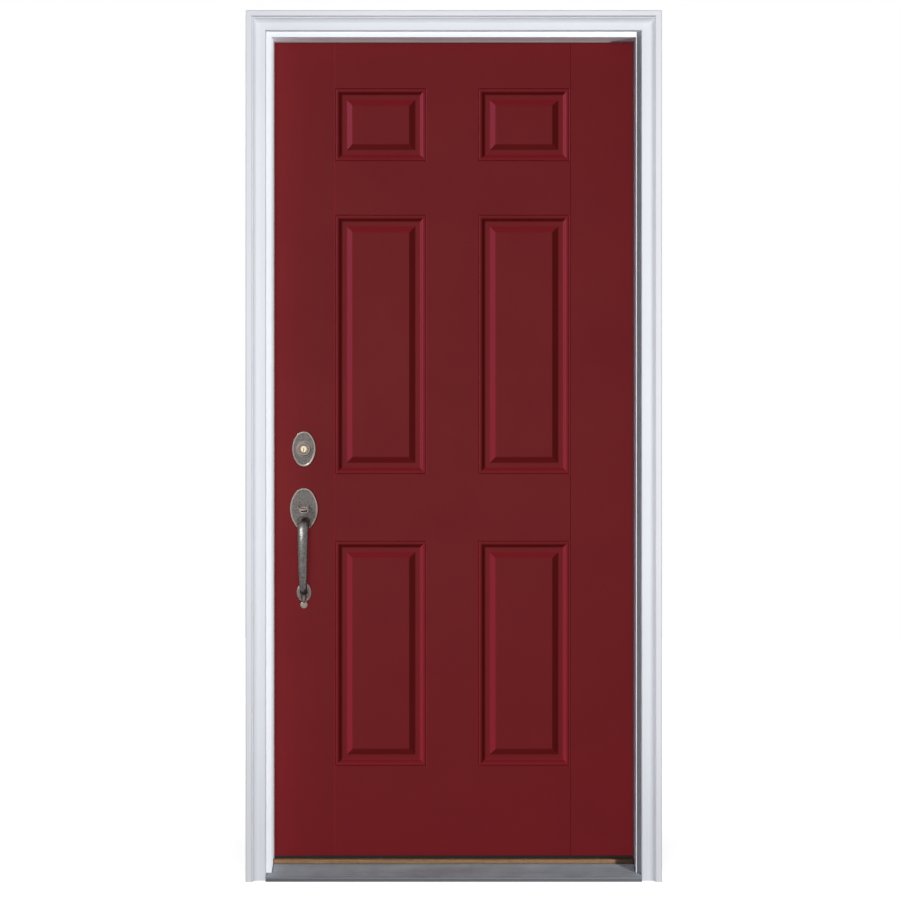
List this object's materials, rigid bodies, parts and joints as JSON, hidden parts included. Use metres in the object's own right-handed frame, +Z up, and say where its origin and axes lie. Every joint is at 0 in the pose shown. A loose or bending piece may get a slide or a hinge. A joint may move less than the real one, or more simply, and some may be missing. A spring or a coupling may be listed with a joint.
{
  "type": "prehung entry door",
  "caption": "Prehung entry door: painted raised-panel slab hung in a white frame with brickmould, sill, butt hinges, deadbolt and thumb-latch handle.",
  "frame": {"origin": "on the underside of the sill, midway between the jambs, in the plane of the jambs' outside edges", "axes": "+X to the right seen from outside, +Y into the house, +Z up"},
  "size_m": [1.0034, 0.2098, 2.1007],
  "materials": {
    "door_paint": "dark red satin paint on moulded fiberglass",
    "frame_paint": "white factory paint on primed jambs and brickmould",
    "mill_aluminium": "extruded mill finish",
    "composite": "grey composite substrate",
    "oak": "oiled oak",
    "weatherseal": "grey foam seal with a vinyl jacket",
    "black_vinyl": "extruded vinyl",
    "pine": "planed, unfinished",
    "foam": "closed-cell foam",
    "aged_pewter": "antiqued pewter-grey plating",
    "brass": "turned",
    "steel": "satin plated"
  },
  "bodies": {
    "frame": {"hinge_jamb": "frame_paint", "strike_jamb": "frame_paint", "head_jamb": "frame_paint", "hinge_brickmould": "frame_paint", "strike_brickmould": "frame_paint", "head_brickmould": "frame_paint", "sill_deck": "mill_aluminium", "sill_substrate": "composite", "threshold_cap": "oak", "cap_adjusting_screws": "steel", "hinge_weatherstrip": "weatherseal", "strike_weatherstrip": "weatherseal", "head_weatherstrip": "weatherseal", "corner_pads": "weatherseal", "latch_strike": "steel", "deadbolt_strike": "steel", "strike_screws": "steel", "top_jamb_leaf": "steel", "middle_jamb_leaf": "steel", "bottom_jamb_leaf": "steel", "top_hinge_pin": "steel", "middle_hinge_pin": "steel", "bottom_hinge_pin": "steel", "jamb_hinge_screws": "steel"},
    "door_leaf": {"outside_skin": "door_paint", "inside_skin": "door_paint", "lock_stile": "pine", "hinge_stile": "pine", "top_rail": "pine", "bottom_rail": "pine", "lock_block": "pine", "foam_core": "foam", "door_sweep": "black_vinyl", "top_slab_leaf": "steel", "middle_slab_leaf": "steel", "bottom_slab_leaf": "steel", "slab_hinge_screws": "steel", "deadbolt_rose": "aged_pewter", "deadbolt_cylinder": "aged_pewter", "deadbolt_case": "steel", "deadbolt_faceplate": "steel", "deadbolt_inside_plate": "aged_pewter", "deadbolt_mounting_screws": "steel", "handle_plate": "aged_pewter", "grip_handle": "aged_pewter", "foot_screw": "steel", "latch_case": "steel", "latch_faceplate": "steel", "faceplate_screws": "steel", "inside_rose": "aged_pewter", "handle_mounting_screws": "steel"},
    "inside_knob": {"inside_knob": "aged_pewter", "knob_spindle": "steel"},
    "latch_bolt": {"latch_bolt": "steel"},
    "thumb_piece": {"thumb_piece": "aged_pewter"},
    "thumb_turn": {"thumb_turn": "aged_pewter", "deadbolt_tailpiece": "steel"},
    "deadbolt_bolt": {"deadbolt_bolt": "steel"},
    "key_plug": {"key_plug": "brass"}
  },
  "joints": [
    {"name": "door_swing", "type": "hinge", "parent": "frame", "child": "door_leaf", "pos_m": [0.4525, 0.1237, 1], "axis": [0, 0, -1], "range_deg": [0, 170]},
    {"name": "knob_turn", "type": "hinge", "parent": "door_leaf", "child": "inside_knob", "pos_m": [-0.3665, 0.116, 0.9033], "axis": [0, 1, 0], "range_deg": [0, 50], "stiffness_Nm_per_rad": 0.6},
    {"name": "latch_slide", "type": "slide", "parent": "door_leaf", "child": "latch_bolt", "axis": [1, 0, 0], "range_m": [0, 0.012]},
    {"name": "thumb_press", "type": "hinge", "parent": "door_leaf", "child": "thumb_piece", "pos_m": [-0.3665, 0.076, 0.89525], "axis": [1, 0, 0], "range_deg": [0, 12]},
    {"name": "deadbolt_turn", "type": "hinge", "parent": "door_leaf", "child": "thumb_turn", "pos_m": [-0.3665, 0.116, 1.043], "axis": [0, 1, 0], "range_deg": [0, 90]},
    {"name": "deadbolt_slide", "type": "slide", "parent": "door_leaf", "child": "deadbolt_bolt", "axis": [-1, 0, 0], "range_m": [0, 0.025]},
    {"name": "key_turn", "type": "hinge", "parent": "door_leaf", "child": "key_plug", "pos_m": [-0.3665, 0.07, 1.043], "axis": [0, 1, 0], "range_deg": [0, 90]}
  ],
  "couplings": [
    {"joint": "latch_slide", "follows": "knob_turn", "m_per_rad": 0.0137},
    {"joint": "thumb_press", "follows": "knob_turn", "ratio": 0.2399},
    {"joint": "deadbolt_turn", "follows": "deadbolt_slide", "rad_per_m": 62.83},
    {"joint": "key_turn", "follows": "deadbolt_slide", "rad_per_m": 62.83}
  ]
}
